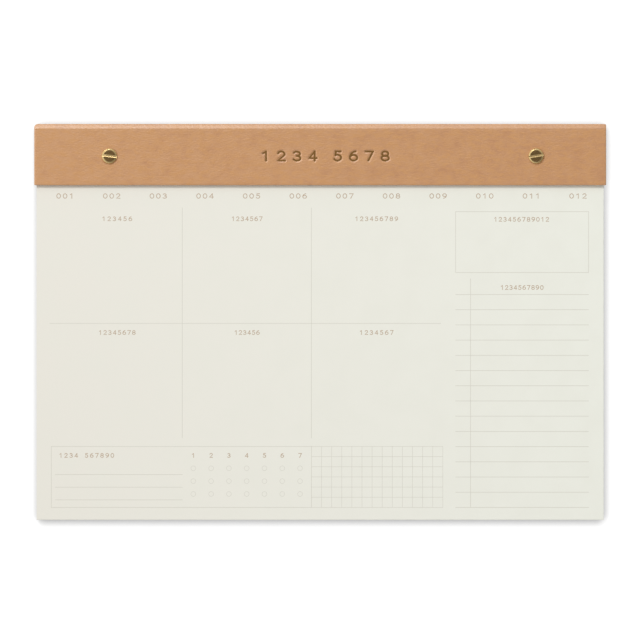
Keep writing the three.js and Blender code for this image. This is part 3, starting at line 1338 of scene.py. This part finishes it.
@dataclass
class PrintedPage:
    """The ruling and numbers of the top sheet, in millimetres from its left edge and its foot."""

    column_lines: tuple[float, ...] = (79.2, 149.5)
    grid_left: float = 7.9
    grid_right: float = 221.0
    day_head: float = 169.7
    day_middle: float = 106.9
    day_foot: float = 44.5
    middle_left: float = 7.1
    middle_right: float = 219.8
    low_box_head: float = 39.9
    low_box_foot: float = 6.7
    right_left: float = 228.0
    right_right: float = 300.3
    note_head: float = 167.7
    note_foot: float = 134.6
    list_head: float = 122.6
    list_lines: int = 15
    list_pitch: float = 8.28
    tick_line: float = 236.1
    tick_head: float = 131.1
    square: float = 5.5
    squares_high: int = 6
    answer_left: float = 10.1
    answer_lines: tuple[float, ...] = (24.6, 17.7, 10.8)
    circle_rows: tuple[float, ...] = (28.0, 21.0, 14.0)
    circle_heading: float = 35.0
    circle_columns: int = 7
    circle_left: float = 85.2
    circle_pitch: float = 9.68
    circle_radius: float = 1.3
    months: int = 12
    month_left: float = 15.4
    month_pitch: float = 25.38
    month_height: float = 176.2
    rule: float = 0.26
    fine_rule: float = 0.2
    ink: float = 0.012
    large: NumeralStyle = NumeralStyle(height=2.8, width=2.4, stroke=0.37, pitch=3.5)
    small: NumeralStyle = NumeralStyle(height=2.5, width=1.85, stroke=0.34, pitch=2.8)
    rule_ink: OffsetInk = OffsetInk()
    number_ink: OffsetInk = OffsetInk("offset ink, warm tan", "#B39C82", "#BFAC95")
    # Each heading's figures, the middle of its line and its width
    headings: tuple[tuple[str, float, float, float], ...] = (
        ("123456", 43.7, 163.8, 16.3),
        ("1234567", 114.4, 163.8, 16.9),
        ("123456789", 184.9, 163.8, 23.4),
        ("12345678", 43.7, 101.9, 20.1),
        ("123456", 114.4, 101.9, 13.8),
        ("1234567", 184.9, 101.9, 18.5),
        ("123456789012", 263.8, 163.5, 30.0),
        ("1234567890", 264.1, 126.4, 23.4),
        ("1234 567890", 27.1, 35.0, 29.9),
    )

    def __post_init__(self) -> None:
        """Reads the sheet's place from the frame."""
        self.box = Block.of_node("sheet_block")

    def at(self, x: float, y: float) -> Point:
        """Turns a place on the sheet into the pad's frame."""
        return self.box.low.x + x, self.box.low.y + y

    def level(self, ink: InkedShapes, left: float, right: float, height: float, width: float) -> None:
        """Rules a line across the sheet."""
        ink.stroke([self.at(left, height), self.at(right, height)], width)

    def upright(self, ink: InkedShapes, x: float, low: float, high: float, width: float) -> None:
        """Rules a line up the sheet."""
        ink.stroke([self.at(x, low), self.at(x, high)], width)

    def box_rule(self, ink: InkedShapes, left: float, right: float, low: float, high: float) -> None:
        """Rules a box."""
        corners = [(left, low), (right, low), (right, high), (left, high), (left, low)]
        ink.stroke([self.at(x, y) for x, y in corners], self.rule)

    def ruled(self) -> bpy.types.Object:
        """Rules the lines, boxes, circles and squares.

        Returns:
            The ruling.
        """
        ink = InkedShapes(self.box.high.z, self.ink)
        for x in self.column_lines:
            self.upright(ink, x, self.day_foot, self.day_head, self.rule)
        self.level(ink, self.middle_left, self.middle_right, self.day_middle, self.rule)
        squares_left = self.column_lines[-1]
        self.box_rule(ink, self.grid_left, squares_left, self.low_box_foot, self.low_box_head)
        for height in self.answer_lines:
            self.level(ink, self.answer_left, self.column_lines[0], height, self.rule)
        for column in range(self.circle_columns):
            for height in self.circle_rows:
                centre = self.at(self.circle_left + column * self.circle_pitch, height)
                ink.stroke(arc(centre, (self.circle_radius, self.circle_radius), 0, 360, 28), self.fine_rule)
        across = round((self.grid_right - squares_left) / self.square)
        for i in range(1, across + 1):
            x = squares_left + (self.grid_right - squares_left) * i / across
            self.upright(ink, x, self.low_box_foot, self.low_box_head, self.fine_rule)
        for i in range(self.squares_high + 1):
            height = self.low_box_foot + (self.low_box_head - self.low_box_foot) * i / self.squares_high
            self.level(ink, squares_left, self.grid_right, height, self.fine_rule)
        self.box_rule(ink, self.right_left, self.right_right, self.note_foot, self.note_head)
        for i in range(self.list_lines):
            height = self.list_head - i * self.list_pitch
            self.level(ink, self.right_left, self.right_right, height, self.rule)
        list_foot = self.list_head - (self.list_lines - 1) * self.list_pitch
        self.upright(ink, self.tick_line, list_foot, self.tick_head, self.rule)
        piece = new_object("ruled_lines", ink.mesh("ruled_lines"), self.rule_ink)
        present(piece)
        return piece

    def numbered(self) -> bpy.types.Object:
        """Prints the plain numbers that head the months, the boxes and the columns.

        Returns:
            The numbers.
        """
        ink = InkedShapes(self.box.high.z, self.ink)

        def number(text: str, x: float, y: float, style: NumeralStyle, width: float = 0.0) -> None:
            """Prints one number, spread to a width if one is given."""
            if width:
                pitch = (width - style.width) / (len(text) - 1)
                style = replace(style, pitch=pitch, gap=2 * pitch)
            for line in style.write(text, self.at(x, y)):
                ink.stroke(line, style.stroke)

        for month in range(self.months):
            x = self.month_left + month * self.month_pitch
            number(f"{month + 1:03d}", x, self.month_height, self.large)
        for text, x, y, width in self.headings:
            number(text, x, y, self.small, width)
        for column in range(self.circle_columns):
            x = self.circle_left + column * self.circle_pitch
            number(str(column + 1), x, self.circle_heading, self.small)
        piece = new_object("printed_numbers", ink.mesh("printed_numbers"), self.number_ink)
        present(piece)
        return piece

    def build(self) -> list[bpy.types.Object]:
        """Prints the page.

        Returns:
            The ruling and the numbers.
        """
        return [self.ruled(), self.numbered()]


class Side(Enum):
    """The two binding posts."""

    LEFT = "left"
    RIGHT = "right"


@dataclass
class BindingPost:
    """One brass fastener: a slotted screw in front and a blind barrel with its head at the back."""

    side: Side
    slot_degrees: float
    head_radius: float = 4.25
    face_radius: float = 3.45
    rim_height: float = 0.45
    head_height: float = 1.2
    crown: float = 0.04
    shank_radius: float = 1.85
    slot_half_width: float = 0.55
    slot_depth: float = 0.65
    slot_floor_degrees: float = 16.0
    slot_reach: float = 6.0
    broken_edge: float = 0.05
    tip_chamfer: float = 0.4
    mouth_chamfer: float = 0.2
    barrel_radius: float = 2.5
    bore_radius: float = 2.1
    bore_floor: float = 2.0
    rear_height: float = 1.0
    rear_round: float = 0.4
    finish: TurnedBrass = field(default_factory=TurnedBrass)

    def screw(self) -> bpy.types.Object:
        """Turns the screw and cuts its slot.

        Returns:
            The screw.
        """
        node = f"binding_screw_{self.side.value}"
        box = Block.of_node(node)
        post = Block.of_node(f"binding_post_{self.side.value}").middle
        x, y = post.x, post.y
        radius = self.head_radius
        seat, top = box.high.z - self.head_height, box.high.z
        bevel_low, bevel_high = seat + self.rim_height, top - self.crown
        bevel = [
            (radius, bevel_low),
            (radius - 0.12, bevel_low + 0.2),
            (radius - 0.4, bevel_high - 0.24),
            (self.face_radius + 0.08, bevel_high - 0.03),
        ]
        outward = [1 - i / 5 for i in range(5)]
        face = [(self.face_radius * share, bevel_high + self.crown * (1 - share**2)) for share in outward]
        tip = box.low.z
        profile = [
            (0, tip),
            (self.shank_radius - self.tip_chamfer, tip),
            (self.shank_radius, tip + self.tip_chamfer),
            (self.shank_radius, seat),
            (radius - 0.08, seat),
            (radius, seat + 0.08),
            *bevel,
            *face,
            (0, top),
        ]
        piece = new_object(
            f"{self.side.value}_slotted_screw", turned_mesh("screw", profile, (x, y)), self.finish
        )
        carve(piece, [self.slot_cutter(x, y, top)])
        edge = piece.modifiers.new("edge", "BEVEL")
        edge.width = self.broken_edge * MM
        edge.segments = 2
        edge.limit_method = "ANGLE"
        edge.angle_limit = math.radians(50)
        settle(piece)
        smooth_but_sharp(piece.data, 32)
        present(piece, [node])
        return piece

    def slot_cutter(self, x: float, y: float, top: float) -> bpy.types.Mesh:
        """Shapes the slot, which runs right across the head and falls to its middle.

        Args:
            x: Where the screw's axis stands.
            y: The same in Y.
            top: Z of the head's face.

        Returns:
            The closed cutter.
        """
        half = self.slot_half_width
        floor = top - self.slot_depth
        rise = half * math.tan(math.radians(self.slot_floor_degrees))
        outline = [(half, top + 1), (-half, top + 1), (-half, floor + rise), (0, floor), (half, floor + rise)]
        turn = math.radians(self.slot_degrees)
        points = []
        for along in (-self.slot_reach, self.slot_reach):
            for across, height in outline:
                points.append((
                    x + along * math.cos(turn) - across * math.sin(turn),
                    y + along * math.sin(turn) + across * math.cos(turn),
                    height,
                ))
        count = len(outline)
        faces = [(i, (i + 1) % count, count + (i + 1) % count, count + i) for i in range(count)]
        faces += [tuple(reversed(range(count))), tuple(range(count, 2 * count))]
        mesh = mesh_from("slot", points, faces)
        turned = bmesh.new()
        turned.from_mesh(mesh)
        bmesh.ops.recalc_face_normals(turned, faces=turned.faces)
        turned.to_mesh(mesh)
        turned.free()
        return mesh

    def barrel(self) -> bpy.types.Object:
        """Turns the barrel with its rear head.

        Returns:
            The barrel.
        """
        node = f"binding_post_{self.side.value}"
        box = Block.of_node(node)
        head = (box.high.x - box.low.x) / 2
        rear_round = self.rear_round
        rounded = arc((head - rear_round, rear_round), (rear_round, rear_round), -90, 0, 6)
        profile = [
            (0, 0),
            *rounded,
            (head, self.rear_height - 0.06),
            (head - 0.06, self.rear_height),
            (self.barrel_radius, self.rear_height),
            (self.barrel_radius, box.high.z - self.mouth_chamfer),
            (self.barrel_radius - self.mouth_chamfer, box.high.z),
            (self.bore_radius, box.high.z),
            (self.bore_radius, self.bore_floor),
            (0, self.bore_floor),
        ]
        mesh = turned_mesh("barrel", profile, (box.middle.x, box.middle.y))
        piece = new_object(f"{self.side.value}_post_barrel", mesh, self.finish)
        smooth_but_sharp(piece.data, 32)
        present(piece, [node])
        return piece

    def build(self) -> list[bpy.types.Object]:
        """Builds both halves.

        Returns:
            The screw and the barrel.
        """
        return [self.screw(), self.barrel()]


@dataclass
class Boards:
    """The backing board and the stiffener, whose solids are right as they are."""

    nodes: tuple[str, ...] = ("backing_board", "stiffener_board")

    def build(self) -> None:
        """Gives both boards their finish."""
        for node in self.nodes:
            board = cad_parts[node]
            board.data.materials.clear()
            board.data.materials.append(Greyboard().material())
            LOG.info("%s: greyboard", node)


@dataclass
class Studio:
    """White card below, a dim zenith, a pale horizon and one long soft light beyond the head.

    Sizes and places of the studio are in metres.
    """

    camera_height: float = 3.0
    sensor: float = 36.0
    view_width: float = 0.34835
    view_centre: Point = (-0.0001, 0.0010)
    floor_size: float = 8.0
    key_place: tuple[float, float, float] = (-0.6, 1.3, 1.75)
    key_size: Point = (1.2, 0.35)
    key_watts: float = 20.0
    room_level: float = 0.94
    room_slope_across: float = 0.6
    room_slope_up: float = 0.32
    # Grey levels by the height of the direction, from the horizon at 0 up to where the dim zenith starts
    room_greys: tuple[Point, ...] = ((0.35, 0.55), (0.68, 0.95), (0.9, 0.95))
    horizon: float = 0.8
    zenith_from: float = 0.975
    zenith: Colour = (0.13, 0.1, 0.075, 1.0)

    def floor(self) -> None:
        """Lays the white card."""
        half = self.floor_size / 2 / MM
        corners = [(-half, -half, 0), (half, -half, 0), (half, half, 0), (-half, half, 0)]
        card = new_object("studio_card", mesh_from("studio_card", corners, [(0, 1, 2, 3)]), StudioFloor())

    def camera(self) -> None:
        """Hangs the camera straight above the pad."""
        top_sheet = Block.of_node("sheet_block").high.z * MM
        lens = bpy.data.cameras.new("copy_camera")
        lens.sensor_width = self.sensor
        lens.lens = self.sensor * self.camera_height / self.view_width
        lens.clip_end = 50.0
        eye = bpy.data.objects.new("copy_camera", lens)
        eye.location = (*self.view_centre, top_sheet + self.camera_height)
        bpy.context.scene.collection.objects.link(eye)
        bpy.context.scene.camera = eye

    def softbox(self, name: str, place: Vector, size: Point, watts: float) -> None:
        """Hangs a soft light aimed at the pad.

        Args:
            name: The light's name.
            place: Where it hangs, in metres.
            size: Its width and height.
            watts: Its power.
        """
        lamp = bpy.data.lights.new(name, "AREA")
        lamp.shape = "RECTANGLE"
        lamp.size, lamp.size_y = size
        lamp.energy = watts
        holder = bpy.data.objects.new(name, lamp)
        holder.location = place
        holder.rotation_euler = (-place).to_track_quat("-Z", "Y").to_euler()
        bpy.context.scene.collection.objects.link(holder)

    def sky(self) -> None:
        """Surrounds the pad with a room, dim overhead, pale at the sides and brightest at the upper left."""
        world = bpy.data.worlds.new("studio_room")
        world.use_nodes = True
        bpy.context.scene.world = world
        tree = world.node_tree
        direction = add_node(tree, "ShaderNodeTexCoord").outputs["Generated"]
        parts = add_node(tree, "ShaderNodeSeparateXYZ", {}, {"Vector": direction}).outputs
        ramp = add_node(tree, "ShaderNodeValToRGB", {}, {"Fac": parts["Z"]})
        stops = ramp.color_ramp.elements
        stops[0].position, stops[0].color = 0.0, (self.horizon, self.horizon, self.horizon, 1.0)
        stops[1].position, stops[1].color = self.zenith_from, self.zenith
        for position, grey in self.room_greys:
            stops.new(position).color = (grey, grey, grey, 1.0)
        tree.links.new(ramp.outputs["Color"], tree.nodes["Background"].inputs["Color"])
        across = add_node(
            tree,
            "ShaderNodeMath",
            {"operation": "MULTIPLY_ADD", 1: -self.room_slope_across, 2: self.room_level},
            {0: parts["X"]},
        ).outputs["Value"]
        level = add_node(
            tree,
            "ShaderNodeMath",
            {"operation": "MULTIPLY_ADD", 1: self.room_slope_up},
            {0: parts["Y"], 2: across},
        ).outputs["Value"]
        tree.links.new(level, tree.nodes["Background"].inputs["Strength"])

    def build(self) -> None:
        """Sets up the whole studio."""
        self.camera()
        self.floor()
        self.sky()
        self.softbox("key_light", Vector(self.key_place), self.key_size, self.key_watts)
        bpy.context.scene.view_settings.view_transform = "Standard"


def main() -> None:
    """Builds the studio and dresses the pad."""
    logging.basicConfig(level=logging.INFO, format="%(message)s")
    Studio().build()
    LeatheretteCover().build()
    SheetStack().build()
    PrintedPage().build()
    for side, degrees in ((Side.LEFT, -6.0), (Side.RIGHT, 8.0)):
        BindingPost(side, degrees).build()
    Boards().build()


if __name__ == "__main__":
    main()
